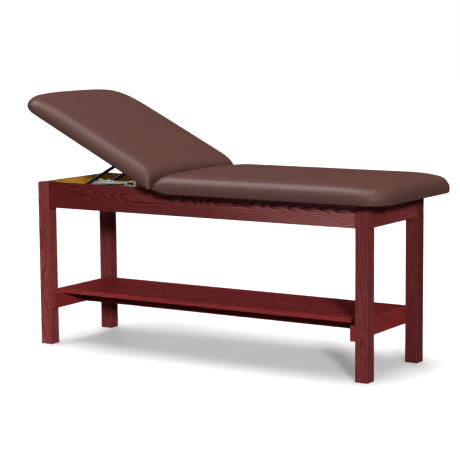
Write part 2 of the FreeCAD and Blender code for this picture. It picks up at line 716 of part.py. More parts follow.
def pivot_bracket(side):
    """A flanged bracket with two ears under the backrest's board."""
    middle = signed(SIDES[side], "arm_spread / 2")
    made = doc.addObject("PartDesign::Body", f"pivot_bracket_{side}")
    box(made, "Additive", "bracket_wide", "2 * (ear_out + bracket_flange)", "ear_thick", "-lug_arm", middle,
        "knuckle_radius - ear_thick")
    for sign in SIDES.values():
        ear = f"{middle} + {signed(sign, 'ear_in + ear_thick / 2')}"
        box(made, "Additive", "2 * ear_radius", "ear_thick", "lug_drop + knuckle_radius - ear_thick",
            "-lug_arm", ear, "-lug_drop")
        cylinder(made, "Additive", "ear_radius", "ear_thick", Y_AXIS, "-lug_arm", f"{ear} - ear_thick / 2",
                 "-lug_drop")
    cylinder(made, "Subtractive", "pivot_pin_radius + screw_fit", "2 * ear_out", Y_AXIS, "-lug_arm",
             f"{middle} - ear_out", "-lug_drop")
    for x, y in bracket_screw_places(side):
        cylinder(made, "Subtractive", "screw_radius + screw_fit", "ear_thick", Z_AXIS, x, y,
                 "knuckle_radius - ear_thick")
    tilted(made, "hinge_x", "hinge_z", "rest_tilt")


def pivot_pin(side):
    """A headed pin through a bracket's ears, with a ring at its other end."""
    middle = signed(SIDES[side], "arm_spread / 2")
    made = doc.addObject("PartDesign::Body", f"pivot_pin_{side}")
    cylinder(made, "Additive", "pivot_pin_radius", "2 * (ear_out + pin_head_thick)", Y_AXIS, "-lug_arm",
             f"{middle} - ear_out - pin_head_thick", "-lug_drop")
    for start in ("- ear_out - pin_head_thick", "+ ear_out"):
        cylinder(made, "Additive", "pin_head_radius", "pin_head_thick", Y_AXIS, "-lug_arm",
                 f"{middle} {start}", "-lug_drop")
    tilted(made, "hinge_x", "hinge_z", "rest_tilt")


def bracket_screws():
    """The screws that hold both pivot brackets to the backrest's board."""
    solids = []
    seat = size("knuckle_radius") - size("ear_thick") - size("screw_head_high")
    shank = size("screw_bite") + size("ear_thick")
    for sy in SIDES.values():
        for flange in SIDES.values():
            reach = size("ear_out") + size("bracket_flange") / 2
            y = sy * size("arm_spread") / 2 + flange * reach
            solids.append(screw(FreeCAD.Vector(-size("lug_arm"), y, seat), Z_AXIS, shank))
    tilted(group("bracket_screws", solids), "hinge_x", "hinge_z", "rest_tilt")


def support_arm(side):
    """A round steel arm with a cross eye at each end, measured from its pivot."""
    middle = signed(SIDES[side], "arm_spread / 2")
    made = doc.addObject("PartDesign::Body", f"support_arm_{side}")
    cylinder(made, "Additive", "arm_radius", "arm_len", -X_AXIS, 0, middle)
    for x, bore in (("0", "pivot_pin_radius + pivot_fit"), ("-arm_len", "rod_radius + screw_fit")):
        cylinder(made, "Additive", "eye_radius", "eye_wide", Y_AXIS, x, f"{middle} - eye_wide / 2")
        cylinder(made, "Subtractive", bore, "eye_wide", Y_AXIS, x, f"{middle} - eye_wide / 2")
    tilted(made, "lug_x", "lug_z", "-rest_tilt * arm_ratio")


def support_rod():
    """The cross rod that joins both arms and rides in the rack."""
    made = doc.addObject("PartDesign::Body", "support_cross_rod")
    long = "(arm_spread + 2 * eye_wide)"
    cylinder(made, "Additive", "rod_radius", long, Y_AXIS, "-arm_len", f"-{long} / 2")
    tilted(made, "lug_x", "lug_z", "-rest_tilt * arm_ratio")


def rod_spot(tilt):
    """The cross rod's place, seen from the front, when the backrest is tilted up by an angle."""
    back = math.radians(tilt)
    arm = math.radians(tilt * size("arm_ratio"))
    x = size("hinge_x") - size("lug_arm") * math.cos(back) - size("lug_drop") * math.sin(back)
    z = size("hinge_z") + size("lug_arm") * math.sin(back) - size("lug_drop") * math.cos(back)
    return FreeCAD.Vector(x - size("arm_len") * math.cos(arm), 0, z - size("arm_len") * math.sin(arm))


def rack_profile():
    """One cheek of the rack seen from the front: a plate whose slot follows the cross rod's path.

    The slot is open above at its head end. A pocket under each locking angle is cut into its lower edge.
    """
    low = size("bearer_top")
    high = size("rail_top") - size("rack_head_gap")
    steps = [size("max_tilt") * step / LOCK_STEPS for step in range(LOCK_STEPS + 1)]
    path = [rod_spot(tilt) for tilt in steps]
    room = size("rod_radius") + size("slot_clear")
    mouth = rod_spot(size("rest_tilt")).x - room
    left = size("rack_left")
    right = size("rack_right")

    def spot(x, z):
        return FreeCAD.Vector(x, 0, z)

    dip = Part.Arc(spot(mouth, high), spot((mouth + right) / 2, high - size("rack_dip")), spot(right, high))
    outline = [Part.LineSegment(spot(left, low), spot(right, low)),
               Part.LineSegment(spot(right, low), spot(right, high)),
               dip,
               Part.LineSegment(spot(mouth, high), spot(left, high)),
               Part.LineSegment(spot(left, high), spot(left, low))]
    plate = Part.Face(Part.Wire(Part.__sortEdges__([edge.toShape() for edge in outline])))
    rise = Z_AXIS * room
    track = Part.BSplineCurve()
    track.interpolate([point - rise for point in path])
    first = path[0] - rise
    last = path[-1] - rise
    roof = Part.BSplineCurve()
    roof.interpolate([point + rise for point in path])
    lane = [track.toShape(),
            Part.Arc(last, path[-1] + X_AXIS * room, last + rise * 2).toShape(),
            roof.toShape(),
            Part.LineSegment(first + rise * 2, spot(left - room, first.z + 2 * room)).toShape(),
            Part.LineSegment(spot(left - room, first.z + 2 * room), spot(left - room, first.z)).toShape(),
            Part.LineSegment(spot(left - room, first.z), first).toShape()]
    slot = Part.Face(Part.Wire(Part.__sortEdges__(lane)))
    plate = plate.cut(slot)
    corners = [spot(left - room, first.z), spot(mouth, path[0].z),
               spot(mouth, high), spot(left - room, high)]
    entry = Part.Face(Part.makePolygon(corners + corners[:1]))
    plate = plate.cut(entry)
    for point in path:
        pocket = Part.Face(Part.Wire(Part.makeCircle(room, point - Z_AXIS * size("notch_deep"), Y_AXIS)))
        plate = plate.cut(pocket)
    return plate


def rack():
    """The rack's two cheeks, each an angle with its foot screwed on the bearers."""
    plate = rack_profile()
    screws = []
    long = size("rack_right") - size("rack_left")
    for side, sy in SIDES.items():
        wall = plate.extrude(Y_AXIS * sy * size("rack_thick"))
        wall.translate(Y_AXIS * sy * size("rack_face"))
        reach = size("rack_foot") + size("rack_thick")
        corner = FreeCAD.Vector(size("rack_left"), sy * size("rack_face") - (reach if sy < 0 else 0),
                                size("bearer_top"))
        shape = wall.fuse(Part.makeBox(long, reach, size("rack_thick"), corner)).removeSplitter()
        for place in ("bearer_head_x", "bearer_foot_x"):
            spot = FreeCAD.Vector(size(place), sy * (size("rack_face") + size("rack_foot") / 2),
                                  size("bearer_top"))
            bore = size("screw_radius") + size("screw_fit")
            shape = shape.cut(Part.makeCylinder(bore, size("rack_thick"), spot))
            top = spot + Z_AXIS * (size("rack_thick") + size("screw_head_high"))
            screws.append(screw(top, -Z_AXIS, size("rack_thick") + size("screw_bite")))
        made = doc.addObject("Part::Feature", f"rack_cheek_{side}")
        made.Shape = shape
    group("rack_screws", screws)


for end in ENDS:
    for side in SIDES:
        leg(end, side)
        corner_block(end, side)
for side in SIDES:
    side_rail(side)
for end in ENDS:
    end_rail(end)
    cleat(end)
corner_fasteners()
cross_rails()
bearers()
stretcher()
shelf()
brace_fasteners()
pads()
seat_screws()
hinge()
hinge_screws()
for side in SIDES:
    pivot_bracket(side)
    pivot_pin(side)
    support_arm(side)
bracket_screws()
support_rod()
rack()
doc.recompute()

for item in doc.Objects:
    if "Invalid" in item.State or "Error" in item.State:
        raise RuntimeError(f"{item.Label} failed: {item.State}")
sub_parts = [item for item in doc.Objects
             if item.isDerivedFrom("PartDesign::Body") or item.TypeId == "Part::Feature"]
for item in sub_parts:
    if item.Shape.isNull() or not item.Shape.isValid() or not item.Shape.Solids:
        raise RuntimeError(f"{item.Label} has no valid solid")
os.makedirs("parts", exist_ok=True)
for item in sub_parts:
    item.Shape.exportStep(f"parts/{item.Label}.step")
print(len(sub_parts), "sub-parts,", sum(len(item.Shape.Solids) for item in sub_parts), "solids")
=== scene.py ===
import json
import math

import bmesh
import bpy
from bpy.props import FloatProperty, FloatVectorProperty, IntProperty, PointerProperty
from mathutils import Matrix, Vector


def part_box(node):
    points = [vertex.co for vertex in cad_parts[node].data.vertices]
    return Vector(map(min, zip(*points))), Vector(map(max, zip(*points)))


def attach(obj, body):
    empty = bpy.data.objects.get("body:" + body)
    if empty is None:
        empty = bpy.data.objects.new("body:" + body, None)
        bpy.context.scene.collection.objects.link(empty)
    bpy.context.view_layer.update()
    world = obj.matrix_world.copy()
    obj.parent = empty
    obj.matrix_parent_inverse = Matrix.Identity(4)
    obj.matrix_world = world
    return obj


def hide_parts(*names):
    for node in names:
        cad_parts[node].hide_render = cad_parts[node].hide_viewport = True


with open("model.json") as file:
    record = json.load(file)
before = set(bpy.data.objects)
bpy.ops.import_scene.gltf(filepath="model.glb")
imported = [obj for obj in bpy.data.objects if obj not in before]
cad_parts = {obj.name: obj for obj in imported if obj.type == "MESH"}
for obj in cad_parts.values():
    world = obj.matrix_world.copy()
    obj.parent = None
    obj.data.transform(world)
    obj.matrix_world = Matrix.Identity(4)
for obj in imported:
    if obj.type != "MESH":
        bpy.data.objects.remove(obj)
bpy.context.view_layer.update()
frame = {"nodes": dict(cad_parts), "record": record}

bl_info = {
    "name": "Treatment Table Finish",
    "version": (1, 0, 0),
    "blender": (4, 5, 0),
    "location": "3D View > Sidebar > Table",
    "description": "Stains the base, upholsters the pads and sets a studio round a treatment table",
    "category": "Object",
}

NODES = frame["nodes"]
JOINTS = {joint["name"]: joint for joint in frame["record"]["behaviour"]["joints"]}
HINGE = Vector(JOINTS["backrest_tilt"]["pos_m"])
REST_TILT = math.radians(-JOINTS["backrest_tilt"]["range_deg"][0])
ENDS = ("head", "foot")
SIDES = ("front", "back")
AXES = {"X": (0, 1, 2), "Y": (1, 0, 2), "Z": (2, 0, 1)}
OPEN_FACE = {"side_rail_front": ("Y", 1), "side_rail_back": ("Y", -1), "head_rail": ("X", 1),
             "foot_rail": ("X", -1)}
BRACE_GRAIN = {"cleat_head": "Y", "cleat_foot": "Y", "center_stretcher": "X", "shelf": "X"}
CROSS_PIECES = ("hinge_cross_rail", "seat_cross_rail", "rack_bearer_head", "rack_bearer_foot")
HINGE_STEEL = ("hinge_leaf_fixed", "hinge_leaf_moving", "hinge_pin", "hinge_screws_fixed",
               "hinge_screws_moving")

# Where the heart of a piece's log lies, across the grain and in depth, in metres.
LEG_HEART = (0.016, 0.03)
LEG_HEART_STEP = (0.011, -0.02)
RAIL_HEART = (0.045, 0.012)
BRACE_HEART = (-0.02, -0.06)
INNER_HEART = (-0.03, 0.04)

# Late wood over one year's growth, and the painted sheen from the head end to the foot end: a lighter colour
# that stands for sheen and brighter light, not wear.
LATE_WOOD = ((0.0, 0.3), (0.14, 0.0), (0.5, 0.12), (0.82, 1.0), (0.95, 1.0), (1.0, 0.3))
RING_WANDER = 0.036
SHEEN_RAMP = ((0.0, 0.0), (0.3, 0.06), (0.55, 0.14), (0.85, 0.45), (1.0, 0.6))
# Wider than the foot rail, so that the middle of the painted sheen shows from end to end.
FOOT_RAIL_SHEEN = (-1.0, 1.0)
# How much darker the stretcher's screws are than dull zinc, so that they show dark.
SCREW_DARKENING = 0.4
RUBBED_PAINT = 3
RELIEF = 0.6

# Sizes of the boards' corners and of a staple, in metres, and the staple's slant in radians.
BOARD_CORNER = 0.086
CORNER_STEPS = 8
STAPLE = (0.0105, 0.0013, 0.0009)
STAPLE_ROUND = 0.0003
STAPLE_DROP = 0.0003
STAPLE_SLANT = 0.35
MERGED = 1e-5

WHITE = (1, 1, 1, 1)
SENSOR_MM = 36


class Shade:
    """A shader socket that Python's operators work with, and the place where nodes are added."""

    def __init__(self, tree, socket=None):
        self.tree = tree
        self.socket = socket

    def add(self, kind, settings=None, sockets=None, output=0):
        """Adds a node of that kind, its settings first, and gives back one of its outputs."""
        node = self.tree.nodes.new(kind)
        for key, value in (settings or {}).items():
            if key == "stops":
                for spare in list(node.color_ramp.elements)[1:]:
                    node.color_ramp.elements.remove(spare)
                for index, (place, level) in enumerate(value):
                    stops = node.color_ramp.elements
                    stop = stops[0] if index == 0 else stops.new(place)
                    stop.position = place
                    stop.color = (level, level, level, 1)
            else:
                setattr(node, key, value)
        for key, value in (sockets or {}).items():
            if isinstance(value, Shade):
                self.tree.links.new(value.socket, node.inputs[key])
            else:
                node.inputs[key].default_value = value
        return Shade(self.tree, node.outputs[output]) if len(node.outputs) else self

    def math(self, operation, other=0.0):
        """This value and another put through one operation."""
        return self.add("ShaderNodeMath", {"operation": operation}, {0: self, 1: other})

    def __add__(self, other):
        return self.math("ADD", other)

    def __radd__(self, other):
        return self.math("ADD", other)

    def __sub__(self, other):
        return self.math("SUBTRACT", other)

    def __rsub__(self, other):
        return self.add("ShaderNodeMath", {"operation": "SUBTRACT"}, {0: other, 1: self})

    def __mul__(self, other):
        return self.math("MULTIPLY", other)

    def __rmul__(self, other):
        return self.math("MULTIPLY", other)

    def __truediv__(self, other):
        return self.math("DIVIDE", other)

    def __pow__(self, other):
        return self.math("POWER", other)


class WoodLook(bpy.types.PropertyGroup):
    """Colours and grain of the timber."""

    stain: FloatVectorProperty(name="Stain", description="Colour of the stained wood", subtype="COLOR",
                               default=(0.27, 0.031, 0.032), min=0, max=1)
    stain_dark: FloatVectorProperty(name="Stain in the grain", description="Colour of late wood and pores",
                                    subtype="COLOR", default=(0.095, 0.0075, 0.0085), min=0, max=1)
    # Painted sheen and light: a lighter, paler colour mixed in toward the foot end of the front rail and
    # along the foot rail, not wear.
    painted_sheen: FloatVectorProperty(name="Painted sheen", description="Lighter colour painted for sheen and light",
                              subtype="COLOR", default=(0.62, 0.24, 0.24), min=0, max=1)
    # Partly painted sheen: the legs' stain is lighter and paler than the rails', with white mixed in for
    # their sheen.
    leg_stain_and_sheen: FloatVectorProperty(name="Leg stain", description="Colour of the stained legs",
                                   subtype="COLOR", default=(0.37, 0.075, 0.076), min=0, max=1)
    # Painted shade: the foot legs are darkened against the front lamp's light from the foot end, and the back
    # legs for the shade they stand in.
    foot_painted_shade: FloatProperty(name="Foot leg tone", description="Brightness of the foot end's legs",
                             default=0.72, min=0)
    back_painted_shade: FloatProperty(name="Back leg tone", description="Brightness of the stain on the back legs",
                             default=0.62, min=0)
    # Painted shade: the rails' stain is darkened for the shade under the pads' overhang.
    rail_painted_shade: FloatProperty(name="Rail tone", description="Brightness of the rails' stain",
                             default=0.65, min=0)
    # Painted light: the stain of the lower brace and shelf is brightened for light that the pads keep off.
    shelf_painted_light: FloatProperty(name="Shelf tone", description="Brightness of the shelf's stain",
                              default=1.5, min=0)
    bare: FloatVectorProperty(name="Bare wood", description="Colour of wood left unstained", subtype="COLOR",
                              default=(0.68, 0.35, 0.04), min=0, max=1)
    bare_dark: FloatVectorProperty(name="Bare grain", description="Grain colour of unstained wood",
                                   subtype="COLOR", default=(0.38, 0.165, 0.015), min=0, max=1)
    ply: FloatVectorProperty(name="Plywood", description="Colour of the pad boards", subtype="COLOR",
                             default=(0.47, 0.30, 0.14), min=0, max=1)
    ply_dark: FloatVectorProperty(name="Plywood streaks", description="Colour of the streaks in the veneer",
                                  subtype="COLOR", default=(0.25, 0.13, 0.05), min=0, max=1)
    ring: FloatProperty(name="Ring width", description="Width of one year's growth", unit="LENGTH",
                        default=0.0040, min=0.001)
    slope: FloatProperty(name="Log slope", description="How far the log runs out of the board, per metre",
                         default=0.05)
    gloss: FloatProperty(name="Varnish", description="Weight of the varnish where it is seen square on",
                         default=0.09, min=0, max=1)
    gloss_rough: FloatProperty(name="Varnish roughness", description="How far the varnish spreads a shine",
                               default=0.42, min=0, max=1)


class VinylLook(bpy.types.PropertyGroup):
    """Colour and make of the upholstery."""

    colour: FloatVectorProperty(name="Vinyl", description="Colour of the covering", subtype="COLOR",
                                default=(0.104, 0.045, 0.038), min=0, max=1)
    crease: FloatVectorProperty(name="Vinyl in the creases", description="Colour in the embossed valleys",
                                subtype="COLOR", default=(0.072, 0.030, 0.025), min=0, max=1)
    pebble: FloatProperty(name="Pebble size", description="Width of the embossed grain", unit="LENGTH",
                          default=0.0022, min=0.0002)
    voxel: FloatProperty(name="Mesh size", description="Width of the pad's faces", unit="LENGTH",
                         default=0.008, min=0.003)
    pressure: FloatProperty(name="Foam pressure", description="Push of the foam on the covering", default=4)
    most_swell: FloatProperty(name="Most swell", description="Furthest that the covering moves out",
                              unit="LENGTH", default=0.007, min=0)
    tucked: FloatProperty(name="Tucked edge", description="Height of the bottom edge that stays in place",
                          unit="LENGTH", default=0.006, min=0)
    crease_gap: FloatProperty(name="Crease", description="Depth of the hinge faces that stay in place",
                              unit="LENGTH", default=0.012, min=0)
    steps: IntProperty(name="Steps", description="Frames that the covering takes to settle",
                       default=20, min=1)
    smoothed: IntProperty(name="Smoothing", description="Times that the covering is smoothed",
                          default=8, min=0)
    evened: IntProperty(name="Evening", description="Times that the swell is spread out",
                        default=20, min=0)
    corner_fall: FloatProperty(name="Corner fall", description="How far the pulled corners lie below the top",
                               unit="LENGTH", default=0.022, min=0)
    corner_reach: FloatProperty(name="Corner reach", description="How far in from a corner the top falls",
                                unit="LENGTH", default=0.21, min=0.01)
    end_fall: FloatProperty(name="End fall", description="How far the free end lies below the top",
                            unit="LENGTH", default=0.007, min=0)
    end_reach: FloatProperty(name="End reach", description="How far in from the free end the top falls",
                             unit="LENGTH", default=0.15, min=0.01)
    hem: FloatProperty(name="Hem", description="Width of the cover turned under the board", unit="LENGTH",
                       default=0.045, min=0.005)
    seat_hem: FloatProperty(name="Seat hem", description="Width of hem inside the seat's padded edge",
                            unit="LENGTH", default=0.018, min=0.005)
    seat_tuck: FloatProperty(name="Seat tuck", description="Width of board that the padded edge hides",
                             unit="LENGTH", default=0.046, min=0)
    cover: FloatProperty(name="Cover", description="Thickness of the vinyl", unit="LENGTH", default=0.0012,
                         min=0.0002)
    staple_gap: FloatProperty(name="Staple gap", description="Distance between staples", unit="LENGTH",
                              default=0.045, min=0.012)
    gloss: FloatProperty(name="Vinyl gloss", description="Weight of the gloss where it is seen square on",
                         default=0.43, min=0, max=1)
    gloss_rough: FloatProperty(name="Gloss roughness", description="How far the gloss spreads a shine",
                               default=0.46, min=0, max=1)


class SteelLook(bpy.types.PropertyGroup):
    """Colours of the fittings."""

    zinc: FloatVectorProperty(name="Zinc", description="Colour of the plated steel", subtype="COLOR",
                              default=(0.58, 0.62, 0.60), min=0, max=1)
    zinc_dull: FloatVectorProperty(name="Dull zinc", description="Colour of its darker crystals",
                                   subtype="COLOR", default=(0.12, 0.135, 0.13), min=0, max=1)
    bronze: FloatVectorProperty(name="Bronzed steel", description="Colour of the long hinge", subtype="COLOR",
                                default=(0.12, 0.06, 0.045), min=0, max=1)
    bronze_dark: FloatVectorProperty(name="Dark bronze", description="Colour of the hinge's darker crystals",
                                     subtype="COLOR", default=(0.035, 0.017, 0.013), min=0, max=1)
    paint: FloatVectorProperty(name="Black paint", description="Colour of the painted steel", subtype="COLOR",
                               default=(0.012, 0.012, 0.012), min=0, max=1)


class StudioSetup(bpy.types.PropertyGroup):
    """Camera, floor and light."""

    place: FloatVectorProperty(name="Camera", description="Where the camera stands", subtype="TRANSLATION",
                               unit="LENGTH", default=(3.6276, -5.7442, 1.4068))
    yaw: FloatProperty(name="Yaw", description="Turn of the camera from the table's width to its head",
                       subtype="ANGLE", default=math.radians(32.39))
    pitch: FloatProperty(name="Pitch", description="How far the camera looks down", subtype="ANGLE",
                         default=math.radians(7.37))
    roll: FloatProperty(name="Roll", description="Turn about the line of sight", subtype="ANGLE",
                        default=math.radians(-0.48))
    lens: FloatProperty(name="Lens", description="Focal length in millimetres", default=126.93, min=1)
    floor: FloatProperty(name="Floor", description="Half the floor's width", unit="LENGTH", default=30, min=1)
    sky: FloatProperty(name="Sky", description="Strength of the light all round", default=0.04, min=0)
    key: FloatProperty(name="Key", description="Strength of the low front lamp", default=2.4, min=0)
    key_turn: FloatProperty(name="Key turn", description="Where the front lamp stands, to the foot end",
                            subtype="ANGLE", default=math.radians(40))
    key_rise: FloatProperty(name="Key height", description="Angle of the front lamp above the floor",
                            subtype="ANGLE", default=math.radians(17))
    key_spread: FloatProperty(name="Key spread", description="Angle that the front lamp covers",
                              subtype="ANGLE", default=math.radians(8))
    top: FloatProperty(name="Top", description="Strength of the lamp overhead", default=3.2, min=0)
    top_rise: FloatProperty(name="Top height", description="Angle of the overhead lamp above the floor",
                            subtype="ANGLE", default=math.radians(87))
    top_spread: FloatProperty(name="Top spread", description="Angle that the overhead lamp covers",
                              subtype="ANGLE", default=math.radians(30))
    shine: FloatProperty(name="Shine", description="Strength of the lamp that only shows in gloss",
                         default=7.5, min=0)
    shine_turn: FloatProperty(name="Shine turn", description="Where that lamp stands, to the foot end",
                              subtype="ANGLE", default=math.radians(-77))
    shine_rise: FloatProperty(name="Shine height", description="Angle of that lamp above the floor",
                              subtype="ANGLE", default=math.radians(51))
    shine_spread: FloatProperty(name="Shine spread", description="Angle that that lamp covers",
                                subtype="ANGLE", default=math.radians(36))
    back: FloatProperty(name="Back", description="Strength of the lamp behind the head end",
                        default=1.6, min=0)
    back_turn: FloatProperty(name="Back turn", description="Where that lamp stands, to the foot end",
                             subtype="ANGLE", default=math.radians(-140))
    back_rise: FloatProperty(name="Back height", description="Angle of that lamp above the floor",
                             subtype="ANGLE", default=math.radians(12))
    back_spread: FloatProperty(name="Back spread", description="Angle that that lamp covers",
                               subtype="ANGLE", default=math.radians(25))
    floor_glow: FloatProperty(name="Floor glow", description="White added to the floor for the camera",
                              default=0.19, min=0, max=1)
    floor_pale: FloatProperty(name="Floor seen", description="Grey of the floor for the camera",
                              default=0.9, min=0, max=1)
    floor_lit: FloatProperty(name="Floor light", description="Grey of the floor as it lights the table",
                             default=0.05, min=0, max=1)


def opaque(colour):
    """A colour with its alpha."""
    return (*colour, 1)


def new_finish(name):
    """An empty material and the first shade of its nodes."""
    made = bpy.data.materials.new(name)
    made.use_nodes = True
    made.node_tree.nodes.clear()
    return made, Shade(made.node_tree)


def close_finish(shade, sockets):
    """Ends a material in one coat with those values."""
    coat = shade.add("ShaderNodeBsdfPrincipled", None, sockets)
    shade.add("ShaderNodeOutputMaterial", None, {"Surface": coat})


def place_xyz(shade, vector):
    """The three parts of a vector."""
    parts = shade.add("ShaderNodeSeparateXYZ", None, {0: vector}).socket.node
    return [Shade(shade.tree, socket) for socket in parts.outputs]


def coordinates(shade, kind="Object"):
    """Where a point lies on the table, or with Normal the way that it faces."""
    return shade.add("ShaderNodeTexCoord", None, None, kind)


def noise(shade, vector, scale, detail):
    """Cloudy change, in so many turns a metre."""
    return shade.add("ShaderNodeTexNoise", None, {"Vector": vector, "Scale": scale, "Detail": detail})


def streaks(shade, spot, along, across, detail):
    """Noise drawn out along the grain, in so many turns a metre along it and across it."""
    drawn = shade.add("ShaderNodeCombineXYZ", None,
                      {0: spot[0] * along, 1: spot[1] * across, 2: spot[2] * across})
    return noise(shade, drawn, 1.0, detail)


def ramp(shade, value, *stops):
    """A level that follows the value from stop to stop."""
    return shade.add("ShaderNodeValToRGB", {"stops": stops}, {0: value})


def mixed(shade, share, first, second):
    """The first colour, going over to the second by the share."""
    return shade.add("ShaderNodeMix", {"data_type": "RGBA"}, {0: share, 6: first, 7: second}, 2)


def bump(shade, height, depth):
    """Fine relief of that depth in metres."""
    return shade.add("ShaderNodeBump", None, {"Height": height, "Strength": RELIEF, "Distance": depth})


def gloss(shade, most):
    """Weight of a gloss coat, strongest where the surface is seen square on."""
    facing = 1 - shade.add("ShaderNodeLayerWeight", None, None, "Facing")
    return facing * facing * most


def wood_grain(shade, grain, log, look):
    """Shares of late wood, pores and slow colour change for timber whose grain runs along that axis."""
    xyz = place_xyz(shade, coordinates(shade))
    spot = [xyz[index] for index in AXES[grain]]
    along, across, deep = spot
    sway = streaks(shade, spot, 3.2, 9, 3.0) - 0.5
    side = across - log[0] + along * look.slope
    back = deep - log[1]
    radius = (side * side + back * back) ** 0.5 + sway * RING_WANDER
    late = ramp(shade, (radius / look.ring).math("FRACT"), *LATE_WOOD)
    fleck = streaks(shade, spot, 16, 620, 2.0)
    pores = ramp(shade, fleck, (0.5, 0.0), (0.66, 1.0)) * (0.35 + 0.65 * late)
    slow = streaks(shade, spot, 2.2, 18, 2.0)
    return late, pores, slow


def toned(colour, tone):
    """A colour made brighter or darker."""
    return [part * tone for part in colour]


def timber(name, grain, log, look, light, dark, inside=None, painted_sheen=None):
    """Timber. Inside is the axis and side of a face left bare.

    Painted sheen gives where along the grain the painted sheen is nil and where it is strongest; it stands
    for sheen and light, not wear.
    """
    made, shade = new_finish(name)
    late, pores, slow = wood_grain(shade, grain, log, look)
    share = late * 0.42 + pores * 0.38 + slow * 0.6 - 0.16
    colour = mixed(shade, share, opaque(light), opaque(dark))
    if painted_sheen:
        along = place_xyz(shade, coordinates(shade))[AXES[grain][0]]
        sheen_share = ramp(shade, (along - painted_sheen[0]) / (painted_sheen[1] - painted_sheen[0]), *SHEEN_RAMP)
        # Painted sheen: the lighter colour is mixed in along the grain, more toward the foot end, standing
        # for sheen and brighter light, not wear.
        colour = mixed(shade, sheen_share * (1.35 - share * 1.3 - late * 0.5), colour, opaque(look.painted_sheen))
    if inside:
        axis, side = inside
        facing = place_xyz(shade, coordinates(shade, "Normal"))["XYZ".index(axis)] * side
        bare = mixed(shade, share * 0.6, opaque(look.bare), opaque(look.bare_dark))
        colour = mixed(shade, ramp(shade, facing, (0.85, 0.0), (0.95, 1.0)), colour, bare)
    close_finish(shade, {"Base Color": colour, "Roughness": 0.42 + pores * 0.2 + slow * 0.08,
                         "Specular IOR Level": 0.0, "Coat Weight": gloss(shade, look.gloss),
                         "Coat Roughness": look.gloss_rough,
                         "Normal": bump(shade, 1.0 - pores * 0.8 - late * 0.25, 0.0006)})
    return made


def plywood(name, look, cover, turn):
    """Bare plywood with its edges under the cover. Turn is the tilt of its board."""
    made, shade = new_finish(name)
    flat = shade.add("ShaderNodeVectorRotate", {"rotation_type": "Y_AXIS"},
                     {"Vector": coordinates(shade), "Center": HINGE, "Angle": -turn})
    level = shade.add("ShaderNodeVectorRotate", {"rotation_type": "Y_AXIS"},
                      {"Vector": coordinates(shade, "Normal"), "Angle": -turn})
    edge = ramp(shade, place_xyz(shade, level)[2].math("ABSOLUTE"), (0.5, 1.0), (0.7, 0.0))
    streak = streaks(shade, place_xyz(shade, flat), 5, 90, 4.0)
    veneer = mixed(shade, streak * 0.9 - 0.1, opaque(look.ply), opaque(look.ply_dark))
    close_finish(shade, {"Base Color": mixed(shade, edge, veneer, opaque(cover)), "Specular IOR Level": 0.15,
                         "Roughness": 0.62 + streak * 0.2 - edge * 0.2,
                         "Normal": bump(shade, streak, 0.0004)})
    return made


def vinyl(look):
    """Embossed vinyl with a soft shine."""
    made, shade = new_finish("vinyl")
    spot = coordinates(shade)
    pebble = shade.add("ShaderNodeTexVoronoi", {"feature": "DISTANCE_TO_EDGE"},
                       {"Vector": spot, "Scale": 1 / look.pebble, "Randomness": 0.9})
    valley = ramp(shade, pebble, (0.0, 1.0), (0.12, 0.0))
    cloud = noise(shade, spot, 9.0, 3.0)
    colour = mixed(shade, valley * 0.45 + cloud * 0.35 - 0.1, opaque(look.colour), opaque(look.crease))
    close_finish(shade, {"Base Color": colour, "Roughness": 0.36 + valley * 0.12 + cloud * 0.08,
                         "Specular IOR Level": 0.0, "Coat Weight": gloss(shade, look.gloss),
                         "Coat Roughness": look.gloss_rough, "Normal": bump(shade, 1.0 - valley, 0.00025)})
    return made


def zinc(name, light, dull):
    """Plated steel with faint crystals."""
    made, shade = new_finish(name)
    spot = coordinates(shade)
    crystal = shade.add("ShaderNodeTexVoronoi", None, {"Vector": spot, "Scale": 260.0}, "Color")
    grey = place_xyz(shade, crystal)[0]
    scuff = noise(shade, spot, 140.0, 4.0)
    close_finish(shade, {"Base Color": mixed(shade, grey * 0.5 + scuff * 0.3, opaque(light), opaque(dull)),
                         "Metallic": 1.0, "Roughness": 0.36 + grey * 0.12 + scuff * 0.14,
                         "Normal": bump(shade, scuff, 0.0001)})
    return made


def black_paint(look):
    """Black paint with a slight orange peel and grey rubbed spots."""
    made, shade = new_finish("black_steel")
    spot = coordinates(shade)
    peel = noise(shade, spot, 420.0, 2.0)
    rubbed = ramp(shade, noise(shade, spot, 45.0, 5.0), (0.58, 0.0), (0.75, 1.0))
    grey = toned(look.paint, RUBBED_PAINT)
    close_finish(shade, {"Base Color": mixed(shade, rubbed * 0.6, opaque(look.paint), opaque(grey)),
                         "Roughness": 0.42 + rubbed * 0.2 + peel * 0.06, "Specular IOR Level": 0.03,
                         "Normal": bump(shade, peel, 0.0002)})
    return made


def coat(node, made):
    """Gives a carried-over node its finish."""
    for slot in NODES[node].material_slots:
        slot.material = made


class TABLE_OT_stain_legs(bpy.types.Operator):
    """Stains the four legs, each from its own log"""

    bl_idname = "table.stain_legs"
    bl_label = "Stain Legs"

    def execute(self, context):
        look = context.scene.table_wood
        for turn, (end, side) in enumerate((end, side) for end in ENDS for side in SIDES):
            node = f"leg_{end}_{side}"
            low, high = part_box(node)
            log = (low[0] + LEG_HEART[0] + LEG_HEART_STEP[0] * turn,
                   high[1] + LEG_HEART[1] + LEG_HEART_STEP[1] * turn)
            # The foot and back legs are darkened as painted shade.
            tone = (look.foot_painted_shade if end == "foot" else 1) * (look.back_painted_shade if side == "back" else 1)
            # The legs' stain carries painted sheen.
            light = toned(look.leg_stain_and_sheen, tone)
            coat(node, timber(f"stained_{node}", "Z", log, look, light, look.stain_dark))
        return {"FINISHED"}


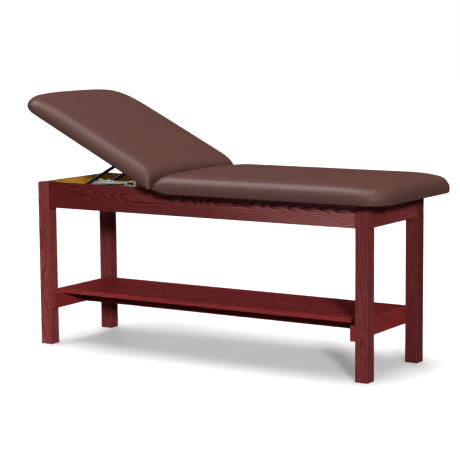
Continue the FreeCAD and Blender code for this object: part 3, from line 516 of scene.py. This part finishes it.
class TABLE_OT_stain_rails(bpy.types.Operator):
    """Stains the rails outside, darker on all but the foot rail as painted shade, with painted sheen toward
    the foot end, and leaves their inner faces bare
    """

    bl_idname = "table.stain_rails"
    bl_label = "Stain Rails"

    def execute(self, context):
        look = context.scene.table_wood
        for node, inside in OPEN_FACE.items():
            low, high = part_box(node)
            grain = "X" if inside[0] == "Y" else "Y"
            middle = [(a + b) / 2 for a, b in zip(low, high)]
            outer = "XY".index(inside[0])
            log = (middle[outer] + inside[1] * RAIL_HEART[0], middle[2] + RAIL_HEART[1])
            # The front rail and the foot rail get the painted sheen.
            painted_sheen = {"side_rail_front": (low[0], high[0]), "foot_rail": FOOT_RAIL_SHEEN}.get(node)
            # The foot rail keeps the full stain as painted light on the foot end; the other rails are
            # darkened as painted shade under the pads' overhang.
            light = look.stain if node == "foot_rail" else toned(look.stain, look.rail_painted_shade)
            dark = toned(look.stain_dark, look.rail_painted_shade)
            coat(node, timber(f"stained_{node}", grain, log, look, light, dark, inside, painted_sheen))
        return {"FINISHED"}


class TABLE_OT_stain_brace(bpy.types.Operator):
    """Stains the lower brace and its shelf"""

    bl_idname = "table.stain_brace"
    bl_label = "Stain Brace and Shelf"

    def execute(self, context):
        look = context.scene.table_wood
        # The brace's stain is brightened as painted light.
        light = toned(look.stain, look.shelf_painted_light)
        for node, grain in BRACE_GRAIN.items():
            low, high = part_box(node)
            across = AXES[grain][1]
            log = ((low[across] + high[across]) / 2 + BRACE_HEART[0], low[2] + BRACE_HEART[1])
            coat(node, timber(f"stained_{node}", grain, log, look, light, look.stain_dark))
        return {"FINISHED"}


class TABLE_OT_finish_inner_timber(bpy.types.Operator):
    """Leaves the corner blocks, cross rails and rack bearers bare"""

    bl_idname = "table.finish_inner_timber"
    bl_label = "Finish Inner Timber"

    def execute(self, context):
        look = context.scene.table_wood
        blocks = [f"corner_block_{end}_{side}" for end in ENDS for side in SIDES]
        for node in (*blocks, *CROSS_PIECES):
            low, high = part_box(node)
            grain = "Z" if node in blocks else "Y"
            across = AXES[grain][1]
            log = (low[across] + INNER_HEART[0], high[2] + INNER_HEART[1])
            coat(node, timber(f"bare_{node}", grain, log, look, look.bare, look.bare_dark))
        return {"FINISHED"}


class TABLE_OT_finish_boards(bpy.types.Operator):
    """Shows the plywood of the two pad boards"""

    bl_idname = "table.finish_boards"
    bl_label = "Finish Boards"

    def execute(self, context):
        look = context.scene.table_wood
        cover = context.scene.table_vinyl.crease
        coat("seat_board", plywood("plywood_seat", look, cover, 0.0))
        coat("backrest_board", plywood("plywood_backrest", look, cover, REST_TILT))
        return {"FINISHED"}


class TABLE_OT_finish_steel(bpy.types.Operator):
    """Plates the fittings with zinc, bronzes the long hinge and paints the support arms black"""

    bl_idname = "table.finish_steel"
    bl_label = "Finish Steel"

    def execute(self, context):
        look = context.scene.table_steel
        made = {"zinc_steel": zinc("zinc_steel", look.zinc, look.zinc_dull), "black_steel": black_paint(look)}
        for part in frame["record"]["subparts"]:
            if part["material_slot"] in made:
                coat(part["node"], made[part["material_slot"]])
        bronze = zinc("bronzed_steel", look.bronze, look.bronze_dark)
        for node in HINGE_STEEL:
            coat(node, bronze)
        # The stretcher's screws get a darker zinc, so that they show dark.
        coat("stretcher_screws", zinc("darkened_zinc", toned(look.zinc_dull, SCREW_DARKENING), look.paint))
        return {"FINISHED"}


def flat_spots(piece, tilt):
    """The points of a piece turned back flat about the hinge."""
    back = Matrix.Rotation(-tilt, 3, "Y")
    return [HINGE + back @ (vert.co - HINGE) for vert in piece.data.vertices]


def flat_box(node, tilt):
    """Lowest and highest corner of a node turned back flat about the hinge."""
    spots = flat_spots(NODES[node], tilt)
    return (Vector([min(spot[axis] for spot in spots) for axis in range(3)]),
            Vector([max(spot[axis] for spot in spots) for axis in range(3)]))


def new_piece(name, shape, made, body):
    """A finished piece from a bmesh, riding on a body."""
    mesh = bpy.data.meshes.new(name)
    shape.to_mesh(mesh)
    shape.free()
    mesh.materials.append(made)
    piece = bpy.data.objects.new(name, mesh)
    bpy.context.scene.collection.objects.link(piece)
    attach(piece, body)
    return piece


def baked(piece):
    """Puts a piece's modifiers into its mesh."""
    plain = piece.data
    piece.data = bpy.data.meshes.new_from_object(piece.evaluated_get(bpy.context.evaluated_depsgraph_get()))
    piece.modifiers.clear()
    bpy.data.meshes.remove(plain)


def remeshed(source, voxel):
    """A new object in even faces that lie on the source's surface."""
    mesh = bpy.data.meshes.new("pad")
    shape = bmesh.new()
    shape.from_mesh(source.data)
    bmesh.ops.remove_doubles(shape, verts=shape.verts, dist=MERGED)
    shape.to_mesh(mesh)
    shape.free()
    pad = bpy.data.objects.new("pad", mesh)
    bpy.context.scene.collection.objects.link(pad)
    remesh = pad.modifiers.new("Even faces", "REMESH")
    remesh.mode = "VOXEL"
    remesh.voxel_size = voxel
    wrap = pad.modifiers.new("Same size", "SHRINKWRAP")
    wrap.wrap_method = "NEAREST_SURFACEPOINT"
    wrap.target = source
    baked(pad)
    return pad


def held_points(pad, board, look, tilt):
    """Points that stay in place: round the board, along the bottom edge and on the faces at the hinge."""
    low, high = flat_box(board, tilt)
    spots = flat_spots(pad, tilt)
    floor = min(spot.z for spot in spots)
    room = look.voxel / 2
    held = set()
    for index, spot in enumerate(spots):
        by_board = (low.x - room < spot.x < high.x + room and abs(spot.y) < high.y + room
                    and spot.z < high.z + room)
        by_hinge = abs(spot.x - HINGE.x) < (spot.z - HINGE.z) * math.tan(REST_TILT) + look.crease_gap
        if by_board or by_hinge or spot.z < floor + look.tucked:
            held.add(index)
    return held


def pull_corners(pad, held, look, tilt):
    """Pulls the top down along the free end, most at its corners, where the cover is gathered."""
    spots = flat_spots(pad, tilt)
    up = Matrix.Rotation(tilt, 3, "Y") @ Vector((0, 0, 1))
    low = min(spot.z for spot in spots)
    high = max(spot.z for spot in spots)
    half = max(spot.y for spot in spots)
    end = max((spot.x for spot in spots), key=lambda x: abs(x - HINGE.x))
    for index, spot in enumerate(spots):
        if index not in held:
            from_end = abs(end - spot.x)
            from_corner = math.hypot(from_end, half - abs(spot.y))
            fall = look.corner_fall * max(0.0, 1 - from_corner / look.corner_reach) ** 2
            fall += look.end_fall * max(0.0, 1 - from_end / look.end_reach) ** 2
            pad.data.vertices[index].co -= up * fall * (spot.z - low) / (high - low)


def swell(pad, held, look):
    """Presses the covering out with the foam, but not at its held points."""
    scene = bpy.context.scene
    pinned = pad.vertex_groups.new(name="held")
    pinned.add(list(held), 1.0, "REPLACE")
    cloth = pad.modifiers.new("Foam", "CLOTH")
    cloth.settings.use_pressure = True
    cloth.settings.uniform_pressure_force = look.pressure
    cloth.settings.effector_weights.gravity = 0
    cloth.settings.vertex_group_mass = "held"
    cloth.point_cache.frame_end = look.steps
    for step in range(1, look.steps + 1):
        scene.frame_set(step)
    grown = pad.evaluated_get(bpy.context.evaluated_depsgraph_get()).to_mesh()
    places = [vert.co.copy() for vert in grown.vertices]
    pad.modifiers.remove(cloth)
    scene.frame_set(1)
    shape = bmesh.new()
    shape.from_mesh(pad.data)
    rises = [max(0.0, (place - vert.co).dot(vert.normal)) for vert, place in zip(shape.verts, places)]
    rises = [look.most_swell * rise / (look.most_swell + rise) for rise in rises]
    near = [[edge.other_vert(vert).index for edge in vert.link_edges] for vert in shape.verts]
    for _ in range(look.evened):
        rises = [0.0 if index in held else sum(rises[other] for other in ring) / len(ring)
                 for index, ring in enumerate(near)]
    for vert, rise in zip(shape.verts, rises):
        vert.co += vert.normal * rise
    shape.to_mesh(pad.data)
    shape.free()


def upholster(node, board, body, tilt, look, made):
    """Makes the covered pad that stands for a cushion."""
    pad = remeshed(NODES[node], look.voxel)
    pad.name = pad.data.name = f"upholstered_{node}"
    held = held_points(pad, board, look, tilt)
    pull_corners(pad, held, look, tilt)
    shape = bmesh.new()
    shape.from_mesh(pad.data)
    loose = [vert for vert in shape.verts if vert.index not in held]
    for _ in range(look.smoothed):
        bmesh.ops.smooth_vert(shape, verts=loose, factor=0.5, use_axis_x=True, use_axis_y=True,
                              use_axis_z=True)
    shape.to_mesh(pad.data)
    shape.free()
    swell(pad, held, look)
    for face in pad.data.polygons:
        face.use_smooth = True
    pad.data.materials.clear()
    pad.data.materials.append(made)
    finer = pad.modifiers.new("Smooth cover", "SUBSURF")
    finer.levels = finer.render_levels = 1
    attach(pad, body)
    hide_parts(node)


def hem_ring(node, tilt, look, free_end, wide, tuck):
    """The strip of cover turned under a board along its sides and free end, flat before it is tilted."""
    low, high = flat_box(node, tilt)
    middle = (low + high) / 2
    ring = bmesh.new()
    bmesh.ops.create_grid(ring, x_segments=1, y_segments=1, size=0.5)
    bmesh.ops.scale(ring, verts=ring.verts, vec=(high.x - low.x - tuck, high.y - low.y - 2 * tuck, 1))
    bmesh.ops.translate(ring, verts=ring.verts,
                        vec=(middle.x - free_end * tuck / 2, middle.y, low.z - look.cover))
    corners = [vert for vert in ring.verts if (vert.co.x - middle.x) * free_end > 0]
    bmesh.ops.bevel(ring, geom=corners, offset=BOARD_CORNER - tuck, affect="VERTICES", segments=CORNER_STEPS,
                    profile=0.5, material=-1)
    inner = ring.faces[:]
    bmesh.ops.inset_region(ring, faces=inner, thickness=wide, use_boundary=True, use_even_offset=True)
    hinge_edge = (low if free_end > 0 else high).x
    strip = [face for face in ring.faces
             if face not in inner and abs(face.calc_center_median().x - hinge_edge) < wide]
    bmesh.ops.delete(ring, geom=inner + strip, context="FACES")
    return ring


def staple_line(ring, look, wide):
    """Places and turns along the middle of a hem, evenly spaced."""
    line = []
    for face in ring.faces:
        ends = sorted(face.edges, key=lambda edge: abs(edge.calc_length() - wide))[:2]
        first, last = [(edge.verts[0].co + edge.verts[1].co) / 2 for edge in ends]
        count = int((last - first).length / look.staple_gap)
        for step in range(count):
            line.append((first.lerp(last, (step + 0.5) / count), last - first))
    return line


def staple_wires(line):
    """A staple at each place of a line, aslant to its run."""
    staples = bmesh.new()
    for place, run in line:
        block = bmesh.ops.create_cube(staples, size=1)["verts"]
        bmesh.ops.scale(staples, verts=block, vec=STAPLE)
        edges = {edge for vert in block for edge in vert.link_edges}
        wire = bmesh.ops.bevel(staples, geom=list(edges), offset=STAPLE_ROUND, affect="EDGES", segments=1,
                               profile=0.5, material=-1)["verts"]
        slant = math.atan2(run.y, run.x) + STAPLE_SLANT
        bmesh.ops.rotate(staples, verts=wire, matrix=Matrix.Rotation(slant, 3, "Z"))
        bmesh.ops.translate(staples, verts=wire, vec=place - Vector((0, 0, STAPLE_DROP)))
    return staples


def turn_under(node, body, tilt, look, free_end, wide, tuck):
    """Turns the cover under a board and staples it there."""
    ring = hem_ring(node, tilt, look, free_end, wide, tuck)
    staples = staple_wires(staple_line(ring, look, wide))
    cut = sum(face.calc_area() for face in ring.faces)
    bmesh.ops.solidify(ring, geom=ring.faces[:], thickness=-look.cover)
    bmesh.ops.recalc_face_normals(ring, faces=ring.faces)
    for shape in (ring, staples):
        bmesh.ops.rotate(shape, verts=shape.verts, cent=HINGE, matrix=Matrix.Rotation(tilt, 3, "Y"))
    hem = new_piece(f"cover_hem_{node}", ring, bpy.data.materials["vinyl"], body)
    wires = new_piece(f"staples_{node}", staples, bpy.data.materials["zinc_steel"], body)
    cut / wide


class TABLE_OT_turn_under(bpy.types.Operator):
    """Turns the covers under their boards and staples them"""

    bl_idname = "table.turn_under"
    bl_label = "Turn Covers Under"

    def execute(self, context):
        look = context.scene.table_vinyl
        turn_under("seat_board", "frame", 0.0, look, 1, look.seat_hem, look.seat_tuck)
        turn_under("backrest_board", "backrest", REST_TILT, look, -1, look.hem, 0.0)
        return {"FINISHED"}


class TABLE_OT_upholster(bpy.types.Operator):
    """Covers the seat and the backrest in vinyl over foam"""

    bl_idname = "table.upholster"
    bl_label = "Upholster Pads"

    def execute(self, context):
        look = context.scene.table_vinyl
        made = vinyl(look)
        upholster("seat_cushion", "seat_board", "frame", 0.0, look, made)
        upholster("backrest_cushion", "backrest_board", "backrest", REST_TILT, look, made)
        return {"FINISHED"}


def white_to_camera(shade, light, bright):
    """A surface that looks bright to the camera and in reflections, and lights the table as light does."""
    path = shade.add("ShaderNodeLightPath").socket.node
    seen = [Shade(shade.tree, path.outputs[name])
            for name in ("Is Camera Ray", "Is Glossy Ray", "Is Transmission Ray")]
    either = seen[0].math("MAXIMUM", seen[1]).math("MAXIMUM", seen[2])
    return shade.add("ShaderNodeMixShader", None, {0: either, 1: light, 2: bright})


def lay_floor(scene, setup):
    """A wide pale floor that keeps the table's shadow."""
    shape = bmesh.new()
    bmesh.ops.create_grid(shape, x_segments=1, y_segments=1, size=setup.floor)
    mesh = bpy.data.meshes.new("floor")
    shape.to_mesh(mesh)
    shape.free()
    floor = bpy.data.objects.new("floor", mesh)
    scene.collection.objects.link(floor)
    made, shade = new_finish("pale_floor")
    grey = shade.add("ShaderNodeBsdfDiffuse", None, {"Color": opaque([setup.floor_lit] * 3)})
    pale = shade.add("ShaderNodeBsdfDiffuse", None, {"Color": opaque([setup.floor_pale] * 3)})
    white = shade.add("ShaderNodeEmission", None, {"Color": WHITE, "Strength": setup.floor_glow})
    lit = shade.add("ShaderNodeAddShader", None, {0: pale, 1: white})
    shade.add("ShaderNodeOutputMaterial", None, {"Surface": white_to_camera(shade, grey, lit)})
    mesh.materials.append(made)


def hang_background(scene, setup):
    """A white background with faint light of its own."""
    world = bpy.data.worlds.new("studio")
    world.use_nodes = True
    world.node_tree.nodes.clear()
    shade = Shade(world.node_tree)
    sky = shade.add("ShaderNodeBackground", None, {"Color": WHITE, "Strength": setup.sky})
    white = shade.add("ShaderNodeBackground", None, {"Color": WHITE, "Strength": 1.0})
    shade.add("ShaderNodeOutputWorld", None, {"Surface": white_to_camera(shade, sky, white)})
    scene.world = world


def hang_lamps(scene, setup):
    """The lamps. The one named shine only shows in gloss and casts no shadow."""
    lamps = {"key": (setup.key, setup.key_spread, setup.key_rise, setup.key_turn),
             "top": (setup.top, setup.top_spread, setup.top_rise, 0.0),
             "back": (setup.back, setup.back_spread, setup.back_rise, setup.back_turn),
             "shine": (setup.shine, setup.shine_spread, setup.shine_rise, setup.shine_turn)}
    for name, (strength, spread, rise, turn) in lamps.items():
        lamp = bpy.data.objects.new(name, bpy.data.lights.new(name, "SUN"))
        lamp.data.energy = strength
        lamp.data.angle = spread
        lamp.data.use_shadow = name != "shine"
        lamp.visible_diffuse = name != "shine"
        lamp.rotation_euler = (math.pi / 2 - rise, 0, turn)
        scene.collection.objects.link(lamp)


def stand_camera(scene, setup):
    """The camera at the photograph's viewing angle."""
    camera = bpy.data.objects.new("camera", bpy.data.cameras.new("camera"))
    camera.data.lens = setup.lens
    camera.data.sensor_width = SENSOR_MM
    camera.matrix_world = (Matrix.Translation(setup.place) @ Matrix.Rotation(setup.yaw, 4, "Z")
                           @ Matrix.Rotation(math.pi / 2 - setup.pitch, 4, "X")
                           @ Matrix.Rotation(setup.roll, 4, "Z"))
    scene.collection.objects.link(camera)
    scene.camera = camera


class TABLE_OT_set_studio(bpy.types.Operator):
    """Stands the table on a pale floor before a white background, with the camera of the photograph"""

    bl_idname = "table.set_studio"
    bl_label = "Set Studio"

    def execute(self, context):
        scene = context.scene
        scene.view_settings.view_transform = "Standard"
        for step in (lay_floor, hang_background, hang_lamps, stand_camera):
            step(scene, scene.table_studio)
        return {"FINISHED"}


class TABLE_PT_finish(bpy.types.Panel):
    """Sizes and colours of the table, and its steps"""

    bl_label = "Treatment Table"
    bl_space_type = "VIEW_3D"
    bl_region_type = "UI"
    bl_category = "Table"

    def draw(self, context):
        for group in GROUPS:
            settings = getattr(context.scene, group)
            for name in settings.__annotations__:
                self.layout.prop(settings, name)
        for step in STEPS:
            self.layout.operator(step.bl_idname)


GROUPS = {"table_wood": WoodLook, "table_vinyl": VinylLook, "table_steel": SteelLook,
          "table_studio": StudioSetup}
STEPS = (TABLE_OT_stain_legs, TABLE_OT_stain_rails, TABLE_OT_stain_brace, TABLE_OT_finish_inner_timber,
         TABLE_OT_finish_boards, TABLE_OT_finish_steel, TABLE_OT_upholster, TABLE_OT_turn_under,
         TABLE_OT_set_studio)


def register():
    """Makes the settings, the steps and the panel known."""
    for made in (*GROUPS.values(), *STEPS, TABLE_PT_finish):
        bpy.utils.register_class(made)
    for name, group in GROUPS.items():
        setattr(bpy.types.Scene, name, PointerProperty(type=group))


def unregister():
    """Takes them away again."""
    for name in GROUPS:
        delattr(bpy.types.Scene, name)
    for made in reversed((*GROUPS.values(), *STEPS, TABLE_PT_finish)):
        bpy.utils.unregister_class(made)


def main():
    """Runs the steps in order."""
    register()
    bpy.ops.table.stain_legs()
    bpy.ops.table.stain_rails()
    bpy.ops.table.stain_brace()
    bpy.ops.table.finish_inner_timber()
    bpy.ops.table.finish_boards()
    bpy.ops.table.finish_steel()
    bpy.ops.table.upholster()
    bpy.ops.table.turn_under()
    bpy.ops.table.set_studio()


if __name__ == "__main__":
    main()
